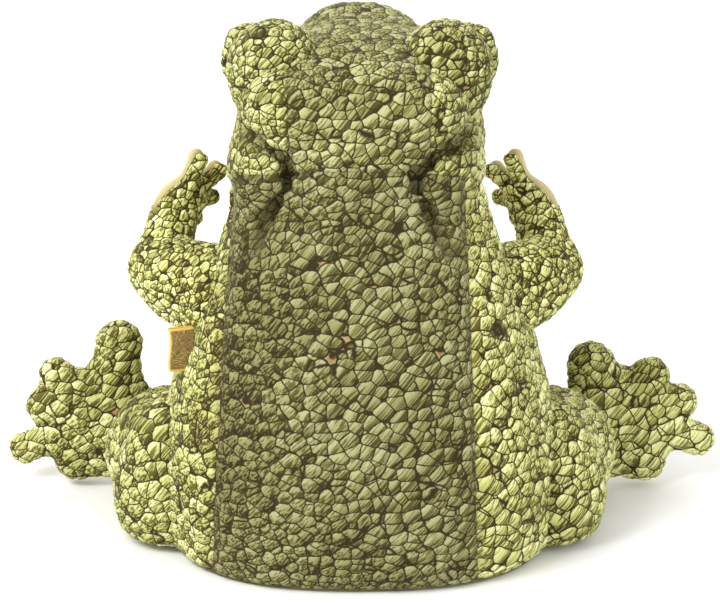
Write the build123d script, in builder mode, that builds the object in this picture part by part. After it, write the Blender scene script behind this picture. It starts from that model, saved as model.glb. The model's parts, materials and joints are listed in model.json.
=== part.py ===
"""Sitting toad hand puppet: sewn plush panels over stuffing, with a sleeve for the hand.

The toad sits on its base and faces -Y. +Z is up and +X is the toad's own left.
The origin is the middle of the hand opening, on the surface that the toad sits on.
All sizes are in millimetres. Left pieces are modelled, and right ones mirror them.
"""

import os
from math import asin, cos, radians, sin

from build123d import *

# ---- Driving dimensions ------------------------------------------------------
SKIN = 2.2  # pile fabric, sewn
EASE = 0.4  # free space between a skin and its stuffing
RUN = 0.5  # free space between two bodies that turn on each other
PLAY = 0.15  # free space between flat layers

# Torso: outline as radius and height, turned round an upright axis.
TORSO_AXIS_Y = 4
TORSO_OUTLINE = [(84, 0), (92, 34), (82, 92), (46, 184)]
TORSO_ROUNDS = [9, 45, 90]
BACK_SPREAD = 72  # degrees of the torso that the back panel covers
BELLY_SPREAD = 72  # degrees for the belly panel

# Hand opening and sleeve.
OPENING = 44  # radius at the hem
HEM_WALL = 4
HEM_HEIGHT = 8
SLEEVE_TOP = 39  # radius under the neck
SLEEVE_WALL = 1.6
SLEEVE_END = 140  # height where the sleeve meets the neck

# Neck: a ball-shaped length of sleeve that the head turns on.
NECK = Vector(0, 2, 152)
NECK_LEAN = 20  # degrees that the neck leans forward
NECK_BALL = 42
NECK_BORE = 37
NECK_HALF = 17  # half length along the neck
TORSO_DROP = 11  # the torso ends this far below the pivot, along the neck
HEAD_LIFT = 13  # the head starts this far above it

# Head, in the mouth's own directions from the jaw hinge.
HINGE = Vector(0, -18, 177)
MOUTH_RISE = 9  # degrees that the mouth rises towards the lips
HEAD_CIRCLES = [(14, 4, 40), (14, 24, 30), (0, -47, 34)]  # plan: X, Y and radius
HEAD_TOP = 41
HEAD_UNDER = 31
HEAD_ROUND = 27
CROWN_HALF = 34  # half width of the crown panel
JAW_REACH = 37  # the jaw's body starts this far from its hinge
JAW_OPENS = 22  # degrees
LINING = 1.2
BOARD = 1.8
BOARD_HALF = 36
POCKET_WALL = 1.2
FINGERS = (28, 22, 52, 20)  # finger pocket: half width, rear, front and height
THUMB = (14, 41, 66, 17)  # thumb pocket: the same

# Eyes.
EYE_AT = Vector(38, -6, 211)
EYE_BULGE = 21
EYE_LOOK = Vector(0.62, -0.78, 0.12)  # the way the left eye faces
EYE_SEAT = 18.2  # from the middle of the bulge to the flat seat of the eye
EYE_RADIUS = 9.6
EYE_RIM = 0.8
EYE_DOME = 5.7
SHANK = 2.2
WASHER_RADIUS = 7.5
WASHER = 1.5

# Left arm.
SHOULDER = Vector(77, 0, 112)
SHOULDER_R = 17
ELBOW = Vector(90, -20, 114)
ELBOW_R = 13
ELBOW_CUP = 16.6
WRIST = Vector(84, -42, 139)
WRIST_R = 9
ARM_CLEAR = 83  # the arm keeps this far from the torso's axis
PALM_LOOK = Vector(0.64, -0.63, 0.44)  # the palm faces this way
HAND_UP = Vector(-0.55, 0.05, 0.83)
HAND_HALF = 4.5
FINGER_FAN = [(-5, 22), (34, 23), (72, 22), (110, 19)]  # degrees and length
FINGER_R = 4.8

# Left leg.
HIP = Vector(80, 6, 33)
HIP_R = 30
ANKLE = Vector(101, -36, 23)
ANKLE_R = 15
LEG_CLEAR = 97  # the leg keeps this far from the torso's axis
FOOT = Vector(120, -52, 30)
FOOT_LOOK = Vector(0.16, 0.96, 0.22)  # the top of the foot faces this way
FOOT_R = 27
FOOT_HALF = 10.5
TOE_FAN = [(-95, 43), (-54, 37), (-15, 36), (24, 41)]  # degrees and length
TOE_R = 9

# Care label, folded double and sewn into the left side seam.
TAG_AT = Vector(74, 27, 92)
TAG = (26, 1.4, 20)

BIG = 400


# ---- Forms shared by several pieces -----------------------------------------
def torso_ring(inset, start, spread, bore=0.0):
    """A length of the torso's turned form: an arc of it, moved in by inset.

    The arc starts at an angle from +X. With a bore, only what lies outside
    the sleeve's space is kept.
    """
    across = Plane(
        origin=(0, TORSO_AXIS_Y, 0),
        x_dir=(cos(radians(start)), sin(radians(start)), 0),
        z_dir=(sin(radians(start)), -cos(radians(start)), 0),
    )
    with BuildPart() as ring:
        with BuildSketch(across) as outline:
            with BuildLine():
                far = [(-radius, height) for radius, height in reversed(TORSO_OUTLINE)]
                Polyline(*TORSO_OUTLINE, *far, close=True)
            make_face()
            for (radius, height), rounding in zip(TORSO_OUTLINE, TORSO_ROUNDS):
                corners = outline.vertices().filter_by_position(Axis.Y, height - 0.01, height + 0.01)
                fillet(corners.sort_by(Axis.X)[0 :: len(corners) - 1], rounding)
            if inset:
                offset(amount=-inset, mode=Mode.REPLACE)
            with Locations((BIG / 2 + bore, 0)):
                Rectangle(BIG, BIG, mode=Mode.INTERSECT)
        revolve(axis=Axis((0, TORSO_AXIS_Y, 0), (0, 0, 1)), revolution_arc=spread)
    return ring.part


def taper(start, end, start_radius, end_radius):
    """A round-ended taper between two balls."""
    along = end - start
    length = along.length
    lean = asin((start_radius - end_radius) / length)
    near_mid = (lean - radians(90)) / 2
    far_mid = (lean + radians(90)) / 2
    with BuildPart() as form:
        with BuildSketch(Plane(origin=start, x_dir=along, z_dir=Plane(start, z_dir=along).x_dir)):
            with BuildLine():
                near = (start_radius * sin(lean), start_radius * cos(lean))
                far = (length + end_radius * sin(lean), end_radius * cos(lean))
                ThreePointArc(
                    (-start_radius, 0),
                    (start_radius * sin(near_mid), start_radius * cos(near_mid)),
                    near,
                )
                Line(near, far)
                ThreePointArc(
                    far,
                    (length + end_radius * sin(far_mid), end_radius * cos(far_mid)),
                    (length + end_radius, 0),
                )
                Line((length + end_radius, 0), (-start_radius, 0))
            make_face()
        revolve(axis=Axis(start, along))
    return form.part


def ball(middle, radius):
    """A ball at a point."""
    with BuildPart() as form:
        with Locations(middle):
            Sphere(radius)
    return form.part


def column(radius):
    """All that lies within a radius of the torso's axis."""
    with BuildPart() as form:
        with Locations((0, TORSO_AXIS_Y, 0)):
            Cylinder(radius, BIG)
    return form.part


def layer(plane, low, high):
    """The space between two heights above a plane."""
    with BuildPart() as form:
        with BuildSketch(plane.offset(low)):
            Rectangle(BIG, BIG)
        extrude(amount=high - low)
    return form.part


def head_form(inset):
    """The head's outside with its jaw, moved in by inset."""
    with BuildPart() as form:
        with BuildSketch(MOUTH.offset(inset - HEAD_UNDER)):
            for x, y, radius in HEAD_CIRCLES:
                with Locations((x, y), (-x, y)):
                    Circle(radius - inset)
            make_hull()
        extrude(amount=HEAD_TOP + HEAD_UNDER - 2 * inset)
        ends = form.faces().filter_by(MOUTH).edges()
        fillet(ends, HEAD_ROUND - inset)
    return form.part


def drum(radius):
    """A cylinder round the jaw's hinge."""
    with BuildPart() as form:
        with BuildSketch(Plane.YZ.offset(-BIG / 2)):
            with Locations((HINGE.Y, HINGE.Z)):
                Circle(radius)
        extrude(amount=BIG)
    return form.part


def mouth_box(half_width, rear, front, low, high):
    """A box in the mouth's own directions, measured from the hinge forward."""
    with BuildPart() as form:
        with BuildSketch(MOUTH.offset(low)):
            with Locations((0, -(front + rear) / 2)):
                Rectangle(2 * half_width, front - rear)
        extrude(amount=high - low)
    return form.part


def pocket(size, low, corner):
    """A flat-ended finger pocket, open towards the hinge."""
    half, rear, front, high = size
    with BuildPart() as form:
        add(mouth_box(half, rear, front, low, low + high))
        upright = form.edges().filter_by(Axis(HINGE, MOUTH.y_dir))
        fillet(upright, corner)
        add(
            mouth_box(
                half - POCKET_WALL,
                rear - 1,
                front - POCKET_WALL,
                low + POCKET_WALL,
                low + high - POCKET_WALL,
            ),
            mode=Mode.SUBTRACT,
        )
    return form.part


def paw(plane, radius, fan, digit_radius, inset, low, high):
    """A flat paw with round digits, from low to high above its middle plane."""
    with BuildPart() as form:
        with BuildSketch(plane.offset(low)):
            Circle(radius - inset)
            for angle, length in fan:
                with BuildSketch(mode=Mode.ADD):
                    Circle(digit_radius - inset)
                    with Locations(Vector(length, 0).rotate(Axis.Z, angle)):
                        Circle(digit_radius - inset)
                    make_hull()
        extrude(amount=high - low)
    return form.part


def save(part, label):
    """Writes one finished piece as its own file."""
    part.label = label
    export_step(part, f"parts/{label}.step")


def save_pair(part, name):
    """Writes a left piece and its mirror image on the right."""
    with BuildPart() as right:
        mirror(part, about=Plane.YZ)
    save(part, f"{name}_left")
    save(right.part, f"{name}_right")


MOUTH = Plane(
    origin=HINGE,
    x_dir=(1, 0, 0),
    z_dir=(0, sin(radians(MOUTH_RISE)), cos(radians(MOUTH_RISE))),
)
NECK_PLANE = Plane(
    origin=NECK,
    x_dir=(1, 0, 0),
    z_dir=(0, -sin(radians(NECK_LEAN)), cos(radians(NECK_LEAN))),
)
os.makedirs("parts", exist_ok=True)

# ---- Torso --------------------------------------------------------------------
above_torso = layer(NECK_PLANE, -TORSO_DROP, BIG)
neck_room = ball(NECK, NECK_BALL + RUN)
base_layer = layer(Plane.XY, 0, SKIN)
shoulder_room = ball(SHOULDER, SHOULDER_R + RUN)
hip_room = ball(HIP, HIP_R + RUN)
back_start = 90 - BACK_SPREAD / 2
belly_start = 270 - BELLY_SPREAD / 2
side_spread = 180 - BACK_SPREAD / 2 - BELLY_SPREAD / 2

with BuildPart() as torso_hollow:
    add(torso_ring(SKIN, 0, 360))
with BuildPart() as sleeve_room:
    with BuildSketch(Plane.XZ):
        with BuildLine():
            Polyline(
                (0, 0),
                (OPENING + HEM_WALL + EASE, 0),
                (OPENING + HEM_WALL + EASE, HEM_HEIGHT + EASE),
                (OPENING + SLEEVE_WALL + EASE, HEM_HEIGHT + EASE),
                (SLEEVE_TOP + SLEEVE_WALL + EASE, SLEEVE_END),
                (SLEEVE_TOP + SLEEVE_WALL + EASE, BIG),
                (0, BIG),
                close=True,
            )
        make_face()
    revolve(axis=Axis.Z)

for name, start, spread in (
    ("back_panel", back_start, BACK_SPREAD),
    ("belly_panel", belly_start, BELLY_SPREAD),
    ("side_panel", belly_start + BELLY_SPREAD - 360, side_spread),
):
    with BuildPart() as panel:
        add(torso_ring(0, start, spread))
        add(torso_hollow.part, mode=Mode.SUBTRACT)
        add(base_layer, mode=Mode.SUBTRACT)
        add(above_torso, mode=Mode.SUBTRACT)
        if name == "side_panel":
            add(shoulder_room, mode=Mode.SUBTRACT)
            add(hip_room, mode=Mode.SUBTRACT)
    if name == "side_panel":
        save_pair(panel.part, name)
    else:
        save(panel.part, name)

fill_gap = 0.5  # degrees between two wads of stuffing
for name, start, spread in (
    ("back_fill", back_start, BACK_SPREAD),
    ("belly_fill", belly_start, BELLY_SPREAD),
    ("side_fill", belly_start + BELLY_SPREAD - 360, side_spread),
):
    with BuildPart() as fill:
        add(torso_ring(SKIN + EASE, start + fill_gap, spread - 2 * fill_gap))
        add(sleeve_room.part, mode=Mode.SUBTRACT)
        add(layer(NECK_PLANE, -TORSO_DROP - EASE, BIG), mode=Mode.SUBTRACT)
        add(ball(NECK, NECK_BALL + 2 * RUN), mode=Mode.SUBTRACT)
        if name == "side_fill":
            add(ball(SHOULDER, SHOULDER_R + SKIN), mode=Mode.SUBTRACT)
            add(ball(HIP, HIP_R + SKIN), mode=Mode.SUBTRACT)
    if name == "side_fill":
        save_pair(fill.part, name)
    else:
        save(fill.part, name)

with BuildPart() as base_panel:
    add(torso_ring(0, 0, 360))
    add(base_layer, mode=Mode.INTERSECT)
    Cylinder(OPENING + HEM_WALL, 4 * SKIN, mode=Mode.SUBTRACT)
    add(hip_room, mode=Mode.SUBTRACT)
    mirror(hip_room, about=Plane.YZ, mode=Mode.SUBTRACT)
save(base_panel.part, "base_panel")

with BuildPart() as opening_hem:
    with BuildSketch():
        Circle(OPENING + HEM_WALL)
        Circle(OPENING, mode=Mode.SUBTRACT)
    extrude(amount=HEM_HEIGHT)
save(opening_hem.part, "opening_hem")

with BuildPart() as hand_sleeve:
    with BuildSketch(Plane.XZ):
        with BuildLine():
            Polyline(
                (OPENING, HEM_HEIGHT),
                (OPENING + SLEEVE_WALL, HEM_HEIGHT),
                (SLEEVE_TOP + SLEEVE_WALL, SLEEVE_END),
                (SLEEVE_TOP, SLEEVE_END),
                close=True,
            )
        make_face()
    revolve(axis=Axis.Z)
    add(layer(NECK_PLANE, -NECK_HALF - EASE, BIG), mode=Mode.SUBTRACT)
save(hand_sleeve.part, "hand_sleeve")

with BuildPart() as label_tag:
    with Locations(Plane(origin=TAG_AT, x_dir=(0.96, 0.28, 0), z_dir=(0, 0, 1))):
        Box(*TAG)
    add(torso_ring(0, 0, 360), mode=Mode.SUBTRACT)
save(label_tag.part.solids().sort_by(Axis.X)[-1], "label_tag")

with BuildPart() as neck_sleeve:
    with BuildSketch(NECK_PLANE.offset(-NECK_HALF)):
        Circle(NECK_BALL + 5)
        Circle(NECK_BORE, mode=Mode.SUBTRACT)
    extrude(amount=2 * NECK_HALF)
    with Locations(NECK):
        Sphere(NECK_BALL, mode=Mode.INTERSECT)
save(neck_sleeve.part, "neck_sleeve")

# ---- Head ---------------------------------------------------------------------
head_out = head_form(0)
head_hollow = head_form(SKIN)
head_pad = head_form(SKIN + EASE)
under_head = layer(NECK_PLANE, -BIG, HEAD_LIFT)
jaw_drum = drum(JAW_REACH)
jaw_drum_room = drum(JAW_REACH + RUN)
palate = LINING + PLAY  # top of the palate's lining
before_hinge = mouth_box(BIG / 2, 0, BIG / 2, -BIG / 2, BIG / 2)
look = EYE_LOOK.normalized()
seat = Plane(origin=EYE_AT + look * EYE_SEAT, z_dir=look)
with BuildPart() as eye_room:
    with Locations(EYE_AT):
        Sphere(EYE_BULGE - SKIN)
    with BuildSketch(seat.offset(-EASE)):
        Circle(EYE_RADIUS + EASE)
    extrude(amount=EYE_BULGE)
    mirror(about=Plane.YZ)

with BuildPart() as upper_shell:
    add(head_out)
    add(head_hollow, mode=Mode.SUBTRACT)
    add(layer(MOUTH, palate, BIG), mode=Mode.INTERSECT)
    add(neck_room, mode=Mode.SUBTRACT)
    add(under_head, mode=Mode.SUBTRACT)
    add(eye_room.part, mode=Mode.SUBTRACT)

with BuildPart() as crown_panel:
    add(upper_shell.part)
    Box(2 * CROWN_HALF, BIG, BIG * 2, mode=Mode.INTERSECT)
save(crown_panel.part, "crown_panel")

with BuildPart() as cheek_panel:
    add(upper_shell.part)
    with Locations((CROWN_HALF + BIG / 2, 0, 0)):
        Box(BIG, BIG, BIG * 2, mode=Mode.INTERSECT)
save_pair(cheek_panel.part, "cheek_panel")

with BuildPart() as throat_panel:
    add(head_out)
    add(head_hollow, mode=Mode.SUBTRACT)
    add(layer(MOUTH, -BIG, 0), mode=Mode.INTERSECT)
    add(jaw_drum, mode=Mode.INTERSECT)
    add(under_head, mode=Mode.SUBTRACT)
    add(neck_room, mode=Mode.SUBTRACT)
save(throat_panel.part, "throat_panel")

with BuildPart() as palate_lining:
    add(head_out)
    add(layer(MOUTH, PLAY / 2, palate - PLAY / 2), mode=Mode.INTERSECT)
    add(before_hinge, mode=Mode.INTERSECT)
save(palate_lining.part, "palate_lining")

with BuildPart() as upper_board:
    add(head_pad)
    add(layer(MOUTH, palate, palate + BOARD), mode=Mode.INTERSECT)
    add(mouth_box(BOARD_HALF, 4, 74, -BIG / 2, BIG / 2), mode=Mode.INTERSECT)
save(upper_board.part, "upper_mouth_board")

finger_low = palate + BOARD + PLAY
save(pocket(FINGERS, finger_low, 4), "finger_pocket")

with BuildPart() as head_fill:
    add(head_pad)
    add(layer(MOUTH, finger_low, BIG), mode=Mode.INTERSECT)
    add(
        mouth_box(FINGERS[0] + EASE, -22, FINGERS[2] + EASE, 0, finger_low + FINGERS[3] + EASE),
        mode=Mode.SUBTRACT,
    )
    add(layer(NECK_PLANE, -BIG, HEAD_LIFT + EASE), mode=Mode.SUBTRACT)
    add(ball(NECK, NECK_BALL + 2 * RUN), mode=Mode.SUBTRACT)
    add(eye_room.part, mode=Mode.SUBTRACT)
save(head_fill.part.solids().sort_by(SortBy.VOLUME)[-1], "head_fill")

with BuildPart() as bulge_hollow:
    with Locations(EYE_AT):
        Sphere(EYE_BULGE - SKIN)
    add(layer(seat, -SKIN, 60), mode=Mode.SUBTRACT)

with BuildPart() as eye_bulge:
    with Locations(EYE_AT):
        Sphere(EYE_BULGE)
    add(layer(seat, 0, 60), mode=Mode.SUBTRACT)
    add(bulge_hollow.part, mode=Mode.SUBTRACT)
    add(head_out, mode=Mode.SUBTRACT)
    with BuildSketch(seat.offset(-14)):
        Circle(SHANK + 0.05)
    extrude(amount=20, mode=Mode.SUBTRACT)
save_pair(eye_bulge.part.solids().sort_by(SortBy.VOLUME)[-1], "eye_bulge")

cap = (EYE_RADIUS**2 + EYE_DOME**2) / (2 * EYE_DOME)  # radius of the dome's ball
cap_mid = asin(EYE_RADIUS / cap) / 2
with BuildPart() as eye:
    with BuildSketch(Plane(origin=seat.origin, x_dir=look, z_dir=seat.x_dir)):
        with BuildLine():
            Polyline((-11, 0), (-11, SHANK), (0, SHANK), (0, EYE_RADIUS), (EYE_RIM, EYE_RADIUS))
            ThreePointArc(
                (EYE_RIM, EYE_RADIUS),
                (EYE_RIM + EYE_DOME - cap * (1 - cos(cap_mid)), cap * sin(cap_mid)),
                (EYE_RIM + EYE_DOME, 0),
            )
            Line((EYE_RIM + EYE_DOME, 0), (-11, 0))
        make_face()
    revolve(axis=Axis(seat.origin, look))
save_pair(eye.part, "eye")

with BuildPart() as eye_washer:
    with BuildSketch(seat.offset(-SKIN - WASHER - PLAY)):
        Circle(WASHER_RADIUS)
        Circle(SHANK + 0.05, mode=Mode.SUBTRACT)
    extrude(amount=WASHER)
save_pair(eye_washer.part, "eye_washer")

with BuildPart() as eye_fill:
    with Locations(EYE_AT):
        Sphere(EYE_BULGE - SKIN - EASE)
    add(layer(seat, -SKIN, 60), mode=Mode.SUBTRACT)
    with BuildSketch(seat.offset(-13)):
        Circle(WASHER_RADIUS + 1.5)
    extrude(amount=20, mode=Mode.SUBTRACT)
save_pair(eye_fill.part.solids().sort_by(SortBy.VOLUME)[-1], "eye_fill")

# ---- Jaw ----------------------------------------------------------------------
jaw_top = -palate
neck_when_open = neck_room.rotate(Axis(tuple(HINGE), (1, 0, 0)), -JAW_OPENS)
with BuildPart() as jaw_panel:
    add(head_out)
    add(head_hollow, mode=Mode.SUBTRACT)
    add(layer(MOUTH, -BIG, jaw_top), mode=Mode.INTERSECT)
    add(before_hinge, mode=Mode.INTERSECT)
    add(jaw_drum_room, mode=Mode.SUBTRACT)
    add(neck_when_open, mode=Mode.SUBTRACT)
save(jaw_panel.part, "jaw_panel")

with BuildPart() as jaw_lining:
    add(head_out)
    add(layer(MOUTH, jaw_top + PLAY / 2, -PLAY / 2), mode=Mode.INTERSECT)
    add(before_hinge, mode=Mode.INTERSECT)
    add(jaw_drum_room, mode=Mode.SUBTRACT)
    add(mouth_box(BOARD_HALF, 2, JAW_REACH + 6, jaw_top + PLAY / 2, -PLAY / 2))
save(jaw_lining.part, "jaw_lining")

with BuildPart() as lower_board:
    add(head_pad)
    add(layer(MOUTH, jaw_top - BOARD, jaw_top), mode=Mode.INTERSECT)
    add(mouth_box(BOARD_HALF - 1, 5, 72, -BIG / 2, BIG / 2), mode=Mode.INTERSECT)
save(lower_board.part, "lower_mouth_board")

thumb_top = jaw_top - BOARD - PLAY
save(pocket(THUMB, thumb_top - THUMB[3], 3), "thumb_pocket")

with BuildPart() as jaw_fill:
    add(head_pad)
    add(layer(MOUTH, -BIG, thumb_top), mode=Mode.INTERSECT)
    add(before_hinge, mode=Mode.INTERSECT)
    add(drum(JAW_REACH + 2), mode=Mode.SUBTRACT)
    add(neck_when_open, mode=Mode.SUBTRACT)
    add(
        mouth_box(THUMB[0] + EASE, 0, THUMB[2] + EASE, thumb_top - THUMB[3] - EASE, 5),
        mode=Mode.SUBTRACT,
    )
save(jaw_fill.part, "jaw_fill")

# ---- Arms ---------------------------------------------------------------------
with BuildPart() as upper_arm:
    add(taper(SHOULDER, ELBOW, SHOULDER_R - 1, ELBOW_R + 0.5))
    add(column(ARM_CLEAR), mode=Mode.SUBTRACT)
    add(ball(SHOULDER, SHOULDER_R))
    add(ball(ELBOW, ELBOW_CUP), mode=Mode.SUBTRACT)
save_pair(upper_arm.part.solids().sort_by(SortBy.VOLUME)[-1], "upper_arm")

hand = Plane(origin=WRIST, x_dir=HAND_UP, z_dir=PALM_LOOK)
with BuildPart() as hand_palm:
    add(paw(hand, WRIST_R + 1, FINGER_FAN, FINGER_R, 0, 0, HAND_HALF))
with BuildPart() as hand_back:
    add(paw(hand, WRIST_R + 1, FINGER_FAN, FINGER_R, 0, -HAND_HALF, 0))
with BuildPart() as forearm:
    add(taper(ELBOW, WRIST, ELBOW_R, WRIST_R))
    add(paw(hand, WRIST_R + 1, FINGER_FAN, FINGER_R, -PLAY, -HAND_HALF, HAND_HALF), mode=Mode.SUBTRACT)
save_pair(forearm.part.solids().sort_by(SortBy.VOLUME)[-1], "forearm")
save_pair(hand_back.part, "hand_back")
save_pair(hand_palm.part, "hand_palm")

# ---- Legs ---------------------------------------------------------------------
with BuildPart() as thigh:
    add(taper(HIP, ANKLE, HIP_R - 1, ANKLE_R))
    add(column(LEG_CLEAR), mode=Mode.SUBTRACT)
    add(ball(HIP, HIP_R))
save_pair(thigh.part, "thigh")

foot = Plane(origin=FOOT, x_dir=(1, 0, -0.05), z_dir=FOOT_LOOK)
with BuildPart() as ankle_room:
    add(taper(HIP, ANKLE, HIP_R + 12, ANKLE_R + RUN))
inner = FOOT_HALF - SKIN
with BuildPart() as foot_top:
    add(paw(foot, FOOT_R, TOE_FAN, TOE_R, 0, 0, FOOT_HALF))
    add(paw(foot, FOOT_R, TOE_FAN, TOE_R, SKIN, -1, inner), mode=Mode.SUBTRACT)
    add(ankle_room.part, mode=Mode.SUBTRACT)
save_pair(foot_top.part.solids().sort_by(SortBy.VOLUME)[-1], "foot_top")
with BuildPart() as foot_sole:
    add(paw(foot, FOOT_R, TOE_FAN, TOE_R, 0, -FOOT_HALF, 0))
    add(paw(foot, FOOT_R, TOE_FAN, TOE_R, SKIN, -inner, 1), mode=Mode.SUBTRACT)
    add(ankle_room.part, mode=Mode.SUBTRACT)
save_pair(foot_sole.part.solids().sort_by(SortBy.VOLUME)[-1], "foot_sole")
with BuildPart() as foot_fill:
    add(paw(foot, FOOT_R, TOE_FAN, TOE_R, SKIN + EASE, EASE - inner, inner - EASE))
    add(taper(HIP, ANKLE, HIP_R + 14, ANKLE_R + SKIN), mode=Mode.SUBTRACT)
save_pair(foot_fill.part.solids().sort_by(SortBy.VOLUME)[-1], "foot_fill")
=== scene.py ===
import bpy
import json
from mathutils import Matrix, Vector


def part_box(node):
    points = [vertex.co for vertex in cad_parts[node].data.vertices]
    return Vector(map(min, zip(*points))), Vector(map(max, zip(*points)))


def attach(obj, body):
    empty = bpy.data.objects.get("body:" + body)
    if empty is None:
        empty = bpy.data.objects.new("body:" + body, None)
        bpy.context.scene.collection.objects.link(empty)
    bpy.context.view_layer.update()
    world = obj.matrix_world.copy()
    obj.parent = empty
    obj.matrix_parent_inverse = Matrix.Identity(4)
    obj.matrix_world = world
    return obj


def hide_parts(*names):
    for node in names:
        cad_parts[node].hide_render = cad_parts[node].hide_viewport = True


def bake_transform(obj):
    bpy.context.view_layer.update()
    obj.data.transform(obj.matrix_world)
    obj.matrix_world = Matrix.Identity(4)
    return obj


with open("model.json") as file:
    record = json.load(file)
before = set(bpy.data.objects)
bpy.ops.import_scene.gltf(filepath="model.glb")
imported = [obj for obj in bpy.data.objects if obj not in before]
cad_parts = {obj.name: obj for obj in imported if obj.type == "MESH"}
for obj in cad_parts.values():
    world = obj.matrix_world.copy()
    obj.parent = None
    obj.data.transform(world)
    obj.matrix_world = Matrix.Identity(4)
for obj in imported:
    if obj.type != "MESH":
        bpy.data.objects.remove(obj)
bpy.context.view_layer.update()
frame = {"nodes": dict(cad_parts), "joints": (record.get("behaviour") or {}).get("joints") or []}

# A sitting toad hand puppet in printed plush. Forms are written in millimetres, as distance
# fields that are turned into quads, cut along the puppet's seams and scaled to metres.
import json
from math import cos, pi, radians, sin

import bmesh
import bpy
import numpy as np
import openvdb
from mathutils import Vector, noise

MM = 0.001
SIDES = (("left", 1), ("right", -1))
PIVOT = {j["name"]: np.array(j["pos_m"]) / MM for j in frame["joints"]}

# ---- Places, taken from the frame ------------------------------------------------
NECK = PIVOT["head_nod"]
HINGE = PIVOT["jaw_open"]
NECK_AXIS = np.array([0, -sin(radians(20)), cos(radians(20))])
MOUTH_RISE = radians(9)
MOUTH_BACK = np.array([0, cos(MOUTH_RISE), -sin(MOUTH_RISE)])
MOUTH_UP = np.array([0, sin(MOUTH_RISE), cos(MOUTH_RISE)])
JAW_CUT = np.array([0, -0.766, 0.643])  # square to the line from the hinge to the throat
NECK_SEAM = 8  # height of the seam above the neck's pivot, along the neck
BASE = 1.3  # height of the edge where the base panel is sewn in
HOLE = 46.5  # radius of the hole in the base panel


# ---- Distance fields ---------------------------------------------------------------
def along(at, origin, direction):
    """Distance of a point past an origin, along a direction."""
    return sum((at[i] - origin[i]) * direction[i] for i in range(3))


def size_of(*parts):
    return np.sqrt(sum(part * part for part in parts))


def join(a, b, blend):
    """Smooth union of two fields."""
    near = np.maximum(blend - np.abs(a - b), 0) / blend
    return np.minimum(a, b) - near * near * blend / 4


def keep(a, b, blend):
    """Smooth intersection of two fields."""
    return -join(-a, -b, blend)


def cone(at, a, b, ra, rb):
    """A round-ended taper from a to b."""
    ba = np.subtract(b, a)
    share = np.clip(along(at, a, ba) / (ba @ ba), 0, 1)
    return size_of(*(at[i] - a[i] - share * ba[i] for i in range(3))) - (ra + (rb - ra) * share)


def blob(at, middle, radii):
    """An ellipsoid."""
    unit = size_of(*((at[i] - middle[i]) / radii[i] for i in range(3)))
    slope = size_of(*((at[i] - middle[i]) / radii[i] ** 2 for i in range(3)))
    return unit * (unit - 1) / np.maximum(slope, 1e-6)


def smooth_table(rows):
    """A smooth curve through a table's rows, as one function for each column."""
    rows = np.array(rows, float)
    heights = np.linspace(rows[0, 0], rows[-1, 0], 400)
    slopes = np.gradient(rows[:, 1:], rows[:, 0], axis=0)
    place = np.clip(np.searchsorted(rows[:, 0], heights) - 1, 0, len(rows) - 2)
    span = rows[place + 1, 0] - rows[place, 0]
    t = ((heights - rows[place, 0]) / span)[:, None]
    low, high = rows[place, 1:], rows[place + 1, 1:]
    low_slope, high_slope = slopes[place] * span[:, None], slopes[place + 1] * span[:, None]
    curve = (
        (2 * t**3 - 3 * t**2 + 1) * low
        + (t**3 - 2 * t**2 + t) * low_slope
        + (3 * t**2 - 2 * t**3) * high
        + (t**3 - t**2) * high_slope
    )
    return [lambda z, c=column: np.interp(z, heights, c) for column in curve.T]


# Torso and neck: height, half width, half depth and middle in Y.
SACK = smooth_table([
    (-10, 84, 80, 4),
    (8, 89, 84, 4),
    (28, 91, 87, 4),
    (55, 88, 84, 4),
    (88, 79, 73, 6),
    (115, 70, 62, 8),
    (138, 61, 52, 7),
    (160, 54, 43, 2),
    (182, 49, 38, -4),
    (205, 46, 36, -8),
])


def sack(at):
    x, y, z = at
    wide, deep, middle = (column(z) for column in SACK)
    square = np.interp(z, [0, 90], [2.5, 2.05])
    ring = (np.abs(x / wide) ** square + np.abs((y - middle) / deep) ** square) ** (1 / square)
    form = (ring - 1) * np.minimum(wide, deep)
    return keep(keep(form, -z, 8), z - 190, 26)


def head(at):
    """A flattened, round-edged wedge that rises to the snout, with jowls."""
    x, y, z = at
    back = along(at, HINGE, MOUTH_BACK)
    up = along(at, HINGE, MOUTH_UP)
    flat = (np.abs(x), back, 0 * x)
    plan = cone(flat, (0, 6, 0), (0, -46, 0), 50, 34)
    plan = join(plan, cone(flat, (10, 24, 0), (0, 24, 0), 30, 30), 18)
    high, rounding = 36, 29
    side = np.maximum(plan + rounding, 0)
    cap = np.maximum(np.abs(up - 5) - high + rounding, 0)
    within = np.maximum(plan, np.abs(up - 5) - high) + rounding
    form = size_of(side, cap) - rounding + np.minimum(within, 0)
    brow = blob(at, (0, -20, 205), (40, 40, 17))
    muzzle = blob(at, (0, -70, 203), (24, 22, 17))
    return join(join(form, brow, 16), muzzle, 20)


# Folds at the nape, where the head tilts back: X and Z of points along each crease, seen from
# behind, with the depth of the crease there.
FOLDS = [
    [
        (50, 190, 5), (42, 186, 7), (34, 181, 8), (29, 175, 8),
        (29, 169, 8), (34, 160, 8), (40, 151, 6), (45, 143, 3),
    ],
    [
        (-48, 188, 5), (-38, 183, 7), (-28, 178, 8), (-22, 173, 8),
        (-22, 167, 8), (-27, 158, 8), (-33, 149, 6), (-38, 142, 3),
    ],
]
CREASE = 3.1  # radius of a crease


def full_body(at):
    """Torso, neck and head in one skin."""
    form = join(sack(at), head(at), 16)
    for side in (1, -1):
        form = join(form, blob(at, (side * 37 + 3, 5, 167), (18.5, 31, 25)), 5)
        form = join(form, blob(at, (side * 41, -30, 180), (13, 28, 20)), 12)
        form = join(form, blob(at, (side * 24 + 3, 12, 197), (26, 29, 19)), 6)
    return join(form, blob(at, (3, 27, 158), (22, 21, 34)), 6)


def behind(x, z):
    """Y of the body's back at a place."""
    y = np.arange(0, 90, 0.25)
    return y[(full_body((x, y, z)) < 0).nonzero()[0][-1]]


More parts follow.
